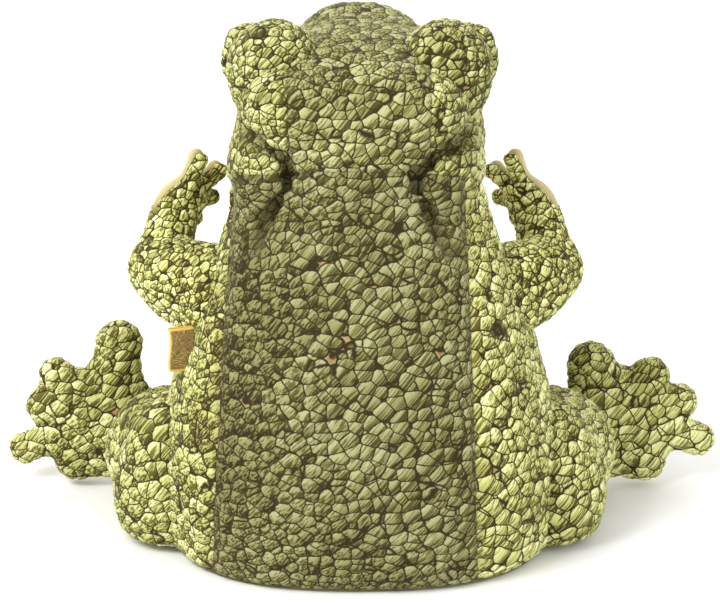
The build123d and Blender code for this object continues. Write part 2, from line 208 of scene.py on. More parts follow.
CREASES = [[(x, behind(x, z) + 1.4 - deep, z) for x, z, deep in fold] for fold in FOLDS]


def from_creases(at):
    """Distance from the nearest crease's bottom."""
    runs = [run for crease in CREASES for run in zip(crease, crease[1:])]
    return np.min([cone(at, a, b, 0, 0) for a, b in runs], axis=0)


def body(at):
    form = full_body(at)
    for crease in CREASES:
        for a, b in zip(crease, crease[1:]):
            form = keep(form, -cone(at, a, b, CREASE, CREASE), 5)
    for side in (1, -1):
        form = keep(form, -blob(at, (side * 9, -99, 205), (2.6, 3.4, 2.2)), 3)
    return form


def paw(at, middle, look, radius, half, tips, blend):
    """A stuffed paw: a flattened palm and digits with fuller tips, as points and radii."""
    depth = along(at, middle, look)
    reach = np.sqrt(np.maximum(sum((at[i] - middle[i]) ** 2 for i in range(3)) - depth**2, 0))
    unit = size_of(reach / radius, depth / half)
    form = (unit - 1) * half
    for tip, digit in tips:
        root = np.add(middle, 0.35 * np.subtract(tip, middle))
        neck = np.add(middle, 0.8 * np.subtract(tip, middle))
        toe = cone(at, root, neck, 0.5 * (half + digit), digit - 1.2)
        toe = join(toe, cone(at, neck, tip, digit - 1.2, digit), 3)
        form = join(form, toe, blend)
    return form


def spread(middle, up, look, fan):
    """Tips of digits and their radii, from angles, lengths, lifts and radii."""
    up = up - np.dot(up, look) * look
    up = up / np.linalg.norm(up)
    across = np.cross(look, up)
    return [
        (middle + length * (cos(radians(a)) * up + sin(radians(a)) * across) + lift * look, digit)
        for a, length, lift, digit in fan
    ]


def unit(vector):
    return np.array(vector, float) / np.linalg.norm(vector)


SHOULDER, ELBOW = PIVOT["shoulder_left"], PIVOT["elbow_left"]
WRIST = np.array([84, -42, 139])
RIGHT_ARM_IN = 4  # the right arm is held this much closer to the body
PALM_LOOK = unit([0.64, -0.63, 0.44])
HAND_UP = unit([-0.55, 0.05, 0.83])
FINGERS = [(-6, 24, 3, 5.2), (34, 25, 2, 5.2), (72, 22, 2, 5), (108, 18, 1, 5)]
ARM_CUT = SHOULDER + 0.42 * (ELBOW - SHOULDER) + [2, 0, 0]
ARM_WAY = unit(ELBOW - SHOULDER + [8, 0, 2])

HIP, ANKLE = PIVOT["hip_left"], PIVOT["ankle_left"]
FOOT = np.array([120, -50, 30])
FOOT_LOOK = unit([0.16, 0.96, 0.22])
# Angle outwards from straight up, length, lift towards the back and radius of each toe.
TOES = {
    1: [(-7, 38, 0, 11.5), (50, 33, 4, 8.2), (79, 32, 3, 8.2), (110, 43, -1, 8), (142, 25, 0, 9)],
    -1: [(-20, 30, 2, 11), (42, 29, 4, 8.2), (76, 34, 3, 8.2), (104, 43, 2, 8), (142, 25, 2, 9)],
}
LEG_WAY = unit(FOOT - HIP + [0, 0, 8])


def arm(at):
    form = cone(at, (60, 4, 108), (80, -8, 112), 26, 17)
    form = join(form, cone(at, (80, -8, 112), ELBOW + [1, 1, 1], 17, 13.5), 10)
    form = join(form, cone(at, ELBOW + [1, 1, 1], WRIST, 13.5, 10), 5)
    tips = spread(WRIST, HAND_UP, PALM_LOOK, FINGERS)
    return join(form, paw(at, WRIST, PALM_LOOK, 12, 6.5, tips, 4), 6)


def leg(at, side):
    form = cone(at, HIP + [-2, 4, 0], HIP + [9, -20, -4], 31, 26)
    form = join(form, blob(at, (83, 16, 17), (28, 30, 28)), 10)
    form = join(form, cone(at, HIP + [9, -20, -4], ANKLE, 26, 17), 14)
    form = keep(form, 1 - at[2], 6)
    tips = spread(FOOT, (0, 0, 1), FOOT_LOOK, TOES[side])
    foot = paw(at, FOOT, FOOT_LOOK, 27, 12, tips, 6)
    return keep(join(form, foot, 8), 0.8 - at[2], 5)


# ---- Meshes from fields -------------------------------------------------------------
def quads_of(field, low, high, step):
    """Points in millimetres and quads of a field's surface."""
    low = np.array(low, float)
    count = np.ceil((np.array(high) - low) / step).astype(int) + 1
    axes = [low[i] + step * np.arange(count[i]) for i in range(3)]
    at = [axis.reshape([-1 if i == j else 1 for j in range(3)]) for i, axis in enumerate(axes)]
    values = np.broadcast_to(field(at), count).astype(np.float32)
    grid = openvdb.FloatGrid(float(3 * step))
    grid.copyFromArray(np.ascontiguousarray(np.clip(values, -3 * step, 3 * step)))
    points, quads = grid.convertToQuads(isovalue=0.0)
    return points.astype(float) * step + low, quads


def cut(mesh, planes):
    """Cuts a bmesh along planes, each only where its test on face middles holds."""
    for point, normal, where in planes:
        faces = [f for f in mesh.faces if where(f.calc_center_median())]
        parts = set(faces)
        for f in faces:
            parts.update(f.edges)
            parts.update(f.verts)
        bmesh.ops.bisect_plane(
            mesh, geom=list(parts), dist=0.08, plane_co=Vector(point), plane_no=Vector(normal)
        )


def object_of(name, points, faces, attributes=()):
    """A smooth-shaded object from points in millimetres, with named values on its points."""
    data = bpy.data.meshes.new(name)
    data.from_pydata((np.asarray(points) * MM).tolist(), [], [list(f) for f in faces])
    data.update()
    data.shade_smooth()
    obj = bpy.data.objects.new(name, data)
    bpy.context.scene.collection.objects.link(obj)
    place = data.attributes.new("print_at", "FLOAT_VECTOR", "POINT")
    place.data.foreach_set("vector", (np.asarray(points) * MM).astype(np.float32).ravel())
    for key, values in dict(attributes).items():
        data.attributes.new(key, "FLOAT", "POINT").data.foreach_set("value", np.float32(values))
    return obj


def wave(points, scale, seed):
    """Smooth noise from -1 to 1 at each point."""
    shift = Vector((seed * 7.3, seed * 3.1, seed * 5.7))
    return np.array([noise.noise(Vector(p) / scale + shift) for p in points])


def panels_of(field, low, high, step, planes, label, seams, wrinkle=0.7, shaded=None):
    """Meshes a field, cuts it, sinks its seams and returns points, faces and values by panel.

    seams is a function from points to the distance from the nearest seam, and shaded one to the
    distance from the nearest crease, round which shade is painted into the print.
    """
    points, quads = quads_of(field, low, high, step)
    mesh = bmesh.new()
    for p in points.tolist():
        mesh.verts.new(p)
    mesh.verts.ensure_lookup_table()
    for q in quads.tolist():
        mesh.faces.new([mesh.verts[i] for i in q])
    cut(mesh, planes)
    mesh.normal_update()
    mesh.verts.index_update()
    points = np.array([v.co for v in mesh.verts])
    normals = np.array([v.normal for v in mesh.verts])
    away = seams(points)
    pucker = 1 + 0.35 * wave(points, 3.2, 2)
    sink = 1.7 * np.exp(-((away / 2.6) ** 2)) * pucker
    swell = wrinkle * (wave(points, 21, 3) + 0.45 * wave(points, 9, 5)) * (1 - np.exp(-((away / 6) ** 2)))
    moved = points + normals * (swell - sink)[:, None]
    moved[:, 2] = np.where(points[:, 2] < 3, points[:, 2], moved[:, 2])
    relief = np.clip((away - 0.6) / 3.0, 0, 1)
    seam_and_crease_shade = np.exp(-((away / 2.4) ** 2))
    # Painted shade: darkens the print round the nape creases, on top of the darkening along the seams.
    if shaded:
        seam_and_crease_shade = np.maximum(seam_and_crease_shade, 3.2 * np.exp(-((shaded(points.T) / 6.5) ** 2)))
    faces = {}
    for f in mesh.faces:
        faces.setdefault(label(f.calc_center_median()), []).append([v.index for v in f.verts])
    mesh.free()
    found = {}
    for key, members in faces.items():
        used = np.unique(np.concatenate([np.array(f) for f in members]))
        place = {int(old): new for new, old in enumerate(used)}
        found[key] = (
            moved[used],
            [[place[i] for i in f] for f in members],
            {"relief": relief[used], "seam": seam_and_crease_shade[used]},
        )
    return found


# ---- Materials ----------------------------------------------------------------------
class Nodes:
    """Short calls for building a node tree."""

    def __init__(self, tree):
        self.tree = tree

    def add(self, kind, inputs=(), **settings):
        node = self.tree.nodes.new(kind)
        for key, value in settings.items():
            setattr(node, key, value)
        for key, value in dict(inputs).items():
            self.put(node.inputs[key], value)
        return node

    def put(self, socket, value):
        if isinstance(value, bpy.types.NodeSocket):
            self.tree.links.new(value, socket)
        else:
            socket.default_value = value

    def math(self, operation, a, b=0.0, c=0.0, clamp=False):
        node = self.add("ShaderNodeMath", operation=operation, use_clamp=clamp)
        for socket, value in zip(node.inputs, (a, b, c)):
            self.put(socket, value)
        return node.outputs[0]

    def vector(self, operation, a, b=(0.0, 0.0, 0.0)):
        node = self.add("ShaderNodeVectorMath", operation=operation)
        self.put(node.inputs[0], a)
        if operation == "SCALE":
            self.put(node.inputs["Scale"], b)
        else:
            self.put(node.inputs[1], b)
        return node.outputs["Value" if operation == "DOT_PRODUCT" else "Vector"]

    def ramp(self, value, low, high, start=0.0, end=1.0):
        node = self.add("ShaderNodeMapRange", interpolation_type="SMOOTHSTEP")
        names = ("Value", "From Min", "From Max", "To Min", "To Max")
        for key, given in zip(names, (value, low, high, start, end)):
            self.put(node.inputs[key], given)
        return node.outputs[0]

    def mix(self, share, a, b, kind="MIX"):
        node = self.add("ShaderNodeMix", data_type="RGBA", blend_type=kind)
        self.put(node.inputs[0], share)
        for socket, value in ((node.inputs[6], a), (node.inputs[7], b)):
            self.put(socket, value if isinstance(value, bpy.types.NodeSocket) else (*value, 1.0))
        return node.outputs[2]

    def noise(self, vector, scale, detail=2.0, rough=0.5):
        inputs = {"Vector": vector, "Scale": scale, "Detail": detail, "Roughness": rough}
        return self.add("ShaderNodeTexNoise", inputs)


def linear(red, green, blue):
    """A colour from its screen values."""
    return tuple(((c / 255 + 0.055) / 1.055) ** 2.4 for c in (red, green, blue))


def pebbles(nodes, place, size):
    """The print's scales: distance in from a scale's edge in millimetres, its random colour and
    the way out from its middle. The relief and the colours both use it, so they agree."""
    place = nodes.vector("MULTIPLY", place, (1.0, 1.0, 1.28))
    bend = nodes.noise(place, 75.0, 1.0).outputs["Color"]
    bend = nodes.vector("SCALE", nodes.vector("SUBTRACT", bend, (0.5, 0.5, 0.5)), 0.55 * size * MM)
    place = nodes.vector("ADD", place, bend)
    shared = {"Vector": place, "Scale": 1 / (size * MM), "Randomness": 0.9}
    cell = nodes.add("ShaderNodeTexVoronoi", shared, feature="F1")
    rim = nodes.add("ShaderNodeTexVoronoi", shared, feature="DISTANCE_TO_EDGE")
    round_off = nodes.math("SUBTRACT", 0.86, cell.outputs["Distance"])
    edge = nodes.math("SMOOTH_MIN", rim.outputs["Distance"], round_off, 0.12)
    middle = nodes.vector("SUBTRACT", place, cell.outputs["Position"])
    outward = nodes.vector("SCALE", middle, 1 / (size * MM))
    return nodes.math("MULTIPLY", edge, size), cell.outputs["Color"], outward


def relief_group(name, size, height):
    """A modifier that raises each printed scale into a low dome."""
    tree = bpy.data.node_groups.new(name, "GeometryNodeTree")
    tree.interface.new_socket("Geometry", in_out="INPUT", socket_type="NodeSocketGeometry")
    tree.interface.new_socket("Geometry", in_out="OUTPUT", socket_type="NodeSocketGeometry")
    nodes = Nodes(tree)
    start, end = nodes.add("NodeGroupInput"), nodes.add("NodeGroupOutput")
    place = nodes.add("GeometryNodeInputNamedAttribute", {"Name": "print_at"}, data_type="FLOAT_VECTOR")
    share = nodes.add("GeometryNodeInputNamedAttribute", {"Name": "relief"}, data_type="FLOAT")
    edge, _, _ = pebbles(nodes, place.outputs["Attribute"], size)
    rise = nodes.ramp(edge, 0.0, 0.26 * size, -0.35 * height, height)
    rise = nodes.math("MULTIPLY", rise, share.outputs["Attribute"])
    normal = nodes.add("GeometryNodeInputNormal")
    offset = nodes.vector("SCALE", normal.outputs["Normal"], rise)
    move = nodes.add("GeometryNodeSetPosition", {"Geometry": start.outputs[0], "Offset": offset})
    tree.links.new(move.outputs[0], end.inputs[0])
    return tree


def material(name):
    made = bpy.data.materials.new(name)
    made.use_nodes = True
    made.node_tree.nodes.clear()
    nodes = Nodes(made.node_tree)
    shader = nodes.add("ShaderNodeBsdfPrincipled")
    end = nodes.add("ShaderNodeOutputMaterial")
    nodes.put(end.inputs["Surface"], shader.outputs[0])
    return made, nodes, shader


def pile(nodes, shader, place, strength=0.35):
    """Short, matte pile: fine bump and a little sheen."""
    shader.inputs["Roughness"].default_value = 0.85
    shader.inputs["Sheen Weight"].default_value = 0.12
    shader.inputs["Sheen Tint"].default_value = (0.95, 0.92, 0.6, 1)
    shader.inputs["Sheen Roughness"].default_value = 0.4
    shader.inputs["Specular IOR Level"].default_value = 0.2
    fine = nodes.noise(place, 1500.0, 3.0, 0.7).outputs[0]
    bump = nodes.add("ShaderNodeBump", {"Height": fine, "Strength": strength, "Distance": 0.0006})
    nodes.put(shader.inputs["Normal"], bump.outputs[0])
    return fine


def printed(name, size, shade=1.0, brown=0.0):
    """Velour printed with pebbly scales: dark outlines, tan gaps and hatched, lit scales."""
    made, nodes, shader = material(name)
    place = nodes.add("ShaderNodeAttribute", attribute_name="print_at").outputs["Vector"]
    edge, chance, outward = pebbles(nodes, place, size)
    fine = pile(nodes, shader, place)
    ragged = nodes.noise(place, 900.0, 2.0, 0.6).outputs[0]
    edge = nodes.math("ADD", edge, nodes.math("MULTIPLY_ADD", ragged, 0.5, -0.25))
    # light falls on each painted scale from its upper left
    lit = nodes.vector("DOT_PRODUCT", outward, (0.62, 0.1, 0.75))
    tone = nodes.math("MULTIPLY_ADD", lit, 0.4, 0.76)
    # fine slanting hatch, mostly on the shaded side of a scale
    slant = nodes.add(
        "ShaderNodeCombineXYZ",
        {
            0: nodes.vector("DOT_PRODUCT", place, (1000.0, 260.0, 1000.0)),
            1: nodes.vector("DOT_PRODUCT", place, (-170.0, 700.0, 170.0)),
            2: nodes.math("MULTIPLY", chance, 9.0),
        },
    )
    stroke = nodes.noise(slant.outputs[0], 1.0, 1.0, 0.6).outputs[0]
    hatch = nodes.ramp(nodes.math("SUBTRACT", stroke, nodes.math("MULTIPLY", lit, 0.12)), 0.44, 0.58)
    tone = nodes.math("SUBTRACT", tone, nodes.math("MULTIPLY", hatch, 0.5))
    tone = nodes.math("ADD", tone, nodes.math("MULTIPLY_ADD", fine, 0.3, -0.15))
    patch = nodes.noise(place, 26.0, 2.0).outputs[0]
    tone = nodes.math("ADD", tone, nodes.math("MULTIPLY_ADD", patch, 0.9, -0.45))
    ramp = nodes.add("ShaderNodeValToRGB", {"Fac": tone})
    stops = [
        (0.0, (64, 54, 18)),
        (0.28, (112, 107, 46)),
        (0.52, (166, 165 - 5 * brown, 92)),
        (0.74, (196, 198 - 5 * brown, 122)),
        (1.0, (236, 238, 174)),
    ]
    elements = ramp.color_ramp.elements
    while len(elements) < len(stops):
        elements.new(0.5)
    for element, (position, colour) in zip(elements, stops):
        element.position = position
        element.color = (*linear(*(shade * c for c in colour)), 1)
    scale = ramp.outputs[0]
    gap = nodes.mix(nodes.noise(place, 300.0).outputs[0], linear(104, 84, 48), linear(176, 152, 106))
    outline = nodes.mix(fine, linear(22, 15, 0), linear(62, 50, 16))
    colour = nodes.mix(nodes.ramp(edge, -0.75, -0.4), gap, outline)
    colour = nodes.mix(nodes.ramp(edge, 0.1, 0.5), colour, scale)
    # Darker along the seams, and painted shade round the nape creases.
    seam = nodes.add("ShaderNodeAttribute", attribute_name="seam").outputs["Fac"]
    colour = nodes.mix(nodes.math("MULTIPLY", seam, 0.2), colour, linear(70, 58, 26))
    nodes.put(shader.inputs["Base Color"], colour)
    return made


def velour(name, light, dark, mottle=40.0):
    """Plain short-pile velour with soft mottling."""
    made, nodes, shader = material(name)
    place = nodes.add("ShaderNodeAttribute", attribute_name="print_at").outputs["Vector"]
    fine = pile(nodes, shader, place)
    patch = nodes.noise(place, mottle, 4.0, 0.6).outputs[0]
    colour = nodes.mix(nodes.ramp(patch, 0.35, 0.7), light, dark)
    colour = nodes.mix(nodes.math("MULTIPLY", fine, 0.35), colour, tuple(0.55 * c for c in dark))
    # Darker along the seams, and painted shade round the nape creases.
    seam = nodes.add("ShaderNodeAttribute", attribute_name="seam").outputs["Fac"]
    colour = nodes.mix(nodes.math("MULTIPLY", seam, 0.5), colour, tuple(0.5 * c for c in dark))
    nodes.put(shader.inputs["Base Color"], colour)
    return made


def woven(name, light, dark, thread=0.55):
    """Plain woven cloth: warp and weft at a thread's pitch in millimetres, in object space."""
    made, nodes, shader = material(name)
    place = nodes.add("ShaderNodeTexCoord").outputs["Object"]
    pitch = 2 * pi / (thread * MM)
    apart = nodes.add("ShaderNodeSeparateXYZ", {0: place}).outputs
    warp = nodes.math("ADD", apart[0], apart[1])
    weft = nodes.math("ADD", apart[2], nodes.math("MULTIPLY", apart[1], 0.3))
    across = nodes.math("SINE", nodes.math("MULTIPLY", warp, pitch))
    upward = nodes.math("SINE", nodes.math("MULTIPLY", weft, pitch))
    weave = nodes.math("MULTIPLY_ADD", nodes.math("MULTIPLY", across, upward), 0.5, 0.5)
    patch = nodes.noise(place, 120.0, 3.0).outputs[0]
    colour = nodes.mix(nodes.math("MULTIPLY", nodes.math("ADD", weave, patch), 0.5), dark, light)
    nodes.put(shader.inputs["Base Color"], colour)
    shader.inputs["Roughness"].default_value = 0.75
    shader.inputs["Sheen Weight"].default_value = 0.15
    bump = nodes.add("ShaderNodeBump", {"Height": weave, "Strength": 0.4, "Distance": 0.0002})
    nodes.put(shader.inputs["Normal"], bump.outputs[0])
    return made


def eye_plastic(side):
    """Glossy moulded eye: amber iris, dark flecks and a level, oval pupil."""
    name = "left" if side > 0 else "right"
    made, nodes, shader = material(f"eye_plastic_{name}")
    look = unit([0.62 * side, -0.78, 0.12])
    level = unit(np.cross(look, [0, 0, 1]))
    upright = np.cross(level, look)
    corners = np.array([v.co for v in frame["nodes"][f"eye_{name}"].data.vertices])
    front = corners @ look
    middle = corners[front > front.max() - 0.004].mean(0)
    place = nodes.add("ShaderNodeTexCoord").outputs["Object"]
    from_middle = nodes.vector("SUBTRACT", place, tuple(middle))
    level_at = nodes.vector("DOT_PRODUCT", from_middle, tuple(level))
    up_at = nodes.vector("DOT_PRODUCT", from_middle, tuple(upright))

    def oval_of(wide, tall):
        """1 on an ellipse round the eye's middle, less inside it."""
        across = nodes.math("POWER", nodes.math("DIVIDE", level_at, wide), 2.0)
        upward = nodes.math("POWER", nodes.math("DIVIDE", up_at, tall), 2.0)
        return nodes.math("SQRT", nodes.math("ADD", across, upward))

    fleck = nodes.noise(place, 900.0, 4.0, 0.7).outputs[0]
    iris = nodes.mix(nodes.ramp(fleck, 0.42, 0.62), linear(206, 150, 40), linear(110, 62, 14))
    colour = nodes.mix(nodes.ramp(oval_of(0.0052, 0.0030), 0.95, 1.08), (0.004, 0.004, 0.004), iris)
    colour = nodes.mix(nodes.ramp(oval_of(0.001, 0.001), 7.8, 8.6), colour, (0.006, 0.005, 0.004))
    nodes.put(shader.inputs["Base Color"], colour)
    shader.inputs["Roughness"].default_value = 0.07
    shader.inputs["Coat Weight"].default_value = 1.0
    shader.inputs["Coat Roughness"].default_value = 0.03
    return made


# ---- Finishing a panel --------------------------------------------------------------
def dress(obj, cloth, relief=None, thick=1.4, smooth=1):
    """Material, subdivision, relief and the cloth's own thickness."""
    obj.data.materials.append(cloth)
    if smooth:
        finer = obj.modifiers.new("finer", "SUBSURF")
        finer.levels = finer.render_levels = smooth
    if relief:
        raised = obj.modifiers.new("raised", "NODES")
        raised.node_group = relief
    if thick:
        cloth_side = obj.modifiers.new("thickness", "SOLIDIFY")
        cloth_side.thickness = thick * MM
        cloth_side.offset = -1
    return obj


BIG_PRINT, MID_PRINT, SMALL_PRINT = 7.2, 6.2, 5.0  # size of a scale in millimetres
back_cloth = printed("velour_back", MID_PRINT, 0.68, 1.0)
side_cloth = printed("velour_side", BIG_PRINT, 0.97)
crown_cloth = printed("velour_crown", MID_PRINT, 0.76, 0.8)
head_cloth = printed("velour_head", MID_PRINT, 0.9)
bulge_cloth = printed("velour_bulge", SMALL_PRINT, 0.88)
limb_cloth = printed("velour_limb", BIG_PRINT, 0.94)
hand_cloth = printed("velour_hand", SMALL_PRINT, 1.04)
cream_cloth = velour("velour_cream", linear(226, 214, 160), linear(188, 170, 112))
throat_cloth = velour("velour_throat", linear(222, 208, 150), linear(196, 176, 112))
base_cloth = velour("velour_base", linear(122, 112, 58), linear(84, 74, 36), 60.0)
rose_cloth = velour("velour_rose", linear(196, 122, 112), linear(158, 84, 80), 50.0)
lining_cloth = woven("lining", linear(88, 86, 58), linear(46, 44, 26))
hem_cloth = woven("hem_tape", linear(118, 104, 58), linear(70, 60, 28), 0.8)
thread = woven("thread", linear(206, 190, 140), linear(150, 134, 86), 0.3)
big_relief = relief_group("big_scales", BIG_PRINT, 0.55 * MM)
mid_relief = relief_group("mid_scales", MID_PRINT, 0.5 * MM)
small_relief = relief_group("small_scales", SMALL_PRINT, 0.4 * MM)


# ---- Torso, neck and head skin -------------------------------------------------------
BACK_SEAMS = (((64, 0, 30), (1, 0, 0.05)), ((-51, 0, 30), (-1, 0, 0.03)))
BELLY_X, CROWN_X = 47, 31
SIDE_Y, THROAT_Y = 6, -12


def neck_height(p):
    return along(p, NECK, NECK_AXIS)


def mouth_height(p):
    return along(p, HINGE, MOUTH_UP)


def jaw_side(p):
    return along(p, HINGE, JAW_CUT)


def body_label(p):
    if p[2] < BASE:
        return "bottom"
    if neck_height(p) > NECK_SEAM:
        if mouth_height(p) < 0 and p[1] < THROAT_Y:
            return "chin" if jaw_side(p) > 0 else "throat"
        return "crown" if abs(p[0]) < CROWN_X else f"cheek_{'left' if p[0] > 0 else 'right'}"
    if p[1] < SIDE_Y:
        return "belly" if abs(p[0]) < BELLY_X else f"side_{'left' if p[0] > 0 else 'right'}"
    for (point, normal), name in zip(BACK_SEAMS, ("side_left", "side_right")):
        if along(p, point, normal) > 0:
            return name
    return "back"


def body_seams(points):
    """Distance from the nearest seam of the body's skin."""
    at = points.T
    x, y, z = at
    tall, mouth, jaw = neck_height(at), mouth_height(at), jaw_side(at)
    far = np.full(len(points), 99.0)
    low_part = tall < NECK_SEAM
    for point, normal in BACK_SEAMS:
        far = np.minimum(far, np.where(low_part & (y > SIDE_Y), np.abs(along(at, point, normal)), 99))
    belly = low_part & (y < SIDE_Y)
    far = np.minimum(far, np.where(belly, np.abs(np.abs(x) - BELLY_X), 99))
    far = np.minimum(far, np.abs(tall - NECK_SEAM) + 1.2 * (y > SIDE_Y))
    far = np.minimum(far, np.where(~low_part & (mouth > 0), np.abs(np.abs(x) - CROWN_X) + 1.6, 99))
    far = np.minimum(far, np.where(~low_part & (y < THROAT_Y), np.abs(mouth) - 0.8 * (jaw > 0), 99))
    far = np.minimum(far, np.where(~low_part & (mouth < 0), np.abs(y - THROAT_Y), 99))
    far = np.minimum(far, np.where(~low_part & (mouth < 0), np.abs(jaw), 99))
    return far


def anywhere(p):
    return True


def in_torso(p):
    return neck_height(p) < NECK_SEAM + 6


def in_head(p):
    return neck_height(p) > NECK_SEAM - 6


def at_jaw_cut(p):
    return in_head(p) and mouth_height(p) < 6 and abs(jaw_side(p)) < 6


body_planes = [
    ((0, 0, BASE), (0, 0, 1), lambda p: p.z < 8),
    (NECK + NECK_SEAM * NECK_AXIS, NECK_AXIS, lambda p: abs(neck_height(p) - NECK_SEAM) < 6),
]
body_planes += [(point, normal, lambda p: p.y > 0 and in_torso(p)) for point, normal in BACK_SEAMS]
for _, side in SIDES:
    body_planes += [
        ((side * BELLY_X, 0, 0), (side, 0, 0), lambda p: p.y < 12 and in_torso(p)),
        ((side * CROWN_X, 0, 0), (side, 0, 0), lambda p: in_head(p) and mouth_height(p) > -6),
    ]
body_planes += [
    ((0, SIDE_Y, 0), (0, 1, 0), lambda p: in_torso(p) and abs(p.y - SIDE_Y) < 6),
    (HINGE, MOUTH_UP, lambda p: in_head(p) and abs(mouth_height(p)) < 6),
    ((0, THROAT_Y, 0), (0, 1, 0), lambda p: in_head(p) and abs(p.y - THROAT_Y) < 6),
    (HINGE, JAW_CUT, at_jaw_cut),
]

body_step = 2.0
skin = panels_of(
    body, (-100, -112, -8), (100, 100, 238), body_step,
    body_planes, body_label, body_seams, shaded=from_creases,
)
BODY_PANELS = {
    "back": ("back_panel", back_cloth, mid_relief, ["back_panel", "back_fill"]),
    "belly": ("belly_panel", cream_cloth, None, ["belly_panel", "belly_fill"]),
    "side_left": ("side_panel_left", side_cloth, big_relief, ["side_panel_left", "side_fill_left"]),
    "side_right": ("side_panel_right", side_cloth, big_relief, ["side_panel_right", "side_fill_right"]),
    "crown": ("crown_panel", crown_cloth, mid_relief, ["crown_panel", "head_fill"]),
    "cheek_left": ("cheek_panel_left", head_cloth, mid_relief, ["cheek_panel_left"]),
    "cheek_right": ("cheek_panel_right", head_cloth, mid_relief, ["cheek_panel_right"]),
    "throat": ("throat_panel", throat_cloth, None, ["throat_panel"]),
    "chin": ("jaw_panel", throat_cloth, None, ["jaw_panel", "jaw_fill"]),
}
for key, (name, cloth, relief, nodes_replaced) in BODY_PANELS.items():
    points, faces, values = skin[key]
    panel = dress(object_of(f"{name}_skin", points, faces, values), cloth, relief)
    if key == "chin":
        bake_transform(panel)
    else:
        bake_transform(panel)
    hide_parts(*nodes_replaced)


# ---- Arms and legs --------------------------------------------------------------------
def flipped(points, faces, side, inward=0.0):
    """A left piece, or its mirror image for the right, moved inward."""
    if side > 0:
        return points, faces
    return points * [-1, 1, 1] + [inward, 0, 0], [f[::-1] for f in faces]


def arm_label(p):
    if along(p, ARM_CUT, ARM_WAY) < 0:
        return "upper"
    beyond = along(p, WRIST, HAND_UP) > -6 or along(p, WRIST, np.cross(PALM_LOOK, HAND_UP)) > 9
    return "palm" if beyond and along(p, WRIST, PALM_LOOK) > 3 else "fore"


def near_hand(p):
    return sum((p[i] - WRIST[i]) ** 2 for i in range(3)) < 40**2


def arm_seams(points):
    at = points.T
    elbow_ring = np.abs(along(at, ARM_CUT, ARM_WAY)) + 1.5
    hand = sum((at[i] - WRIST[i]) ** 2 for i in range(3)) < 32**2
    edge = np.where(hand & (along(at, WRIST, HAND_UP) > -6), np.abs(along(at, WRIST, PALM_LOOK) - 3), 99)
    return np.minimum(elbow_ring, edge)


def leg_label(p):
    if along(p, ANKLE, LEG_WAY) < 0:
        return "thigh"
    return "top" if along(p, FOOT, FOOT_LOOK) > -3 else "sole"


def leg_seams(points):
    at = points.T
    ring = np.abs(along(at, ANKLE, LEG_WAY)) + 1
    edge = np.where(along(at, ANKLE, LEG_WAY) > -2, np.abs(along(at, FOOT, FOOT_LOOK) + 3), 99)
    return np.minimum(ring, edge)


arm_planes = [
    (ARM_CUT, ARM_WAY, anywhere),
    (WRIST + 3 * PALM_LOOK, PALM_LOOK, near_hand),
    (WRIST - 6 * HAND_UP, HAND_UP, near_hand),
]
leg_planes = [
    (ANKLE, LEG_WAY, anywhere),
    (FOOT - 3 * FOOT_LOOK, FOOT_LOOK, lambda p: along(p, ANKLE, LEG_WAY) > -4),
]
limb_step = 1.4
arm_skin = panels_of(arm, (40, -76, 74), (116, 40, 176), limb_step, arm_planes, arm_label, arm_seams, 0.35)
leg_skins = {
    side: panels_of(
        lambda at, side=side: leg(at, side), (40, -80, -4), (180, 50, 94), limb_step,
        leg_planes, leg_label, leg_seams, 0.45,
    )
    for side in (1, -1)
}

for name, side in SIDES:
    arm_root = np.array([68, 0, 111])
    leg_skin = leg_skins[side]
    pieces = (
        (arm_skin["upper"], "upper_arm", hand_cloth, small_relief, "printed_velour", ["upper_arm"],
         ("torso", "upper_arm", arm_root, arm_root + 10 * ARM_WAY)),
        (arm_skin["fore"], "forearm", hand_cloth, small_relief, "printed_velour", ["forearm", "hand_back"],
         ("upper_arm", "forearm", ARM_CUT, ELBOW + 4 * ARM_WAY)),
        (arm_skin["palm"], "hand_palm", cream_cloth, None, "cream_velour", ["hand_palm"],
         ("upper_arm", "forearm", ARM_CUT, ELBOW + 4 * ARM_WAY)),
        (leg_skin["thigh"], "thigh", limb_cloth, big_relief, "printed_velour", ["thigh"],
         ("torso", "thigh", HIP + [2, 0, 0], HIP + [8, -20, -3])),
        (leg_skin["top"], "foot_top", limb_cloth, big_relief, "printed_velour", ["foot_top", "foot_fill"],
         ("thigh", "foot", ANKLE, ANKLE + 14 * LEG_WAY)),
        (leg_skin["sole"], "foot_sole", cream_cloth, None, "cream_velour", ["foot_sole"],
         ("thigh", "foot", ANKLE, ANKLE + 14 * LEG_WAY)),
    )
    for (points, faces, values), piece, cloth, relief, finish, nodes_replaced, bend in pieces:
        first, second, start, end = bend
        inward = RIGHT_ARM_IN if second in ("upper_arm", "forearm") else 0
        made = object_of(f"{piece}_{name}_skin", *flipped(points, faces, side, inward), values)
        dress(made, cloth, relief, thick=1.1)
        first = first if first == "torso" else f"{first}_{name}"
        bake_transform(made)
        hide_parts(*(f"{node}_{name}" for node in nodes_replaced))

# ---- Eyes -----------------------------------------------------------------------------
EYE_LOOK = unit([0.62, -0.78, 0.12])
EYE_AT = np.array([38, -6, 211])
SEAT = EYE_AT + 18.2 * EYE_LOOK


def eye_bulge(at):
    """A stuffed bulge with a rolled lid round the eye."""
    form = blob(at, (37, -3, 206.5), (19.5, 21.5, 24.5))
    form = join(form, blob(at, EYE_AT, (19.8, 19.8, 19.8)), 6)
    depth = along(at, SEAT, EYE_LOOK)
    form = keep(form, depth + 0.6, 3)
    ring = np.sqrt(np.maximum(sum((at[i] - SEAT[i]) ** 2 for i in range(3)) - depth**2, 0))
    lid = size_of(ring - 11.6, depth - 0.6) - 2.9
    brow = cone(at, SEAT + [-9, -3, 8.5], SEAT + [5, 6, 10], 3.6, 3.6)
    return join(join(form, lid, 3), brow, 5)


def all_one(p):
    return "bulge"


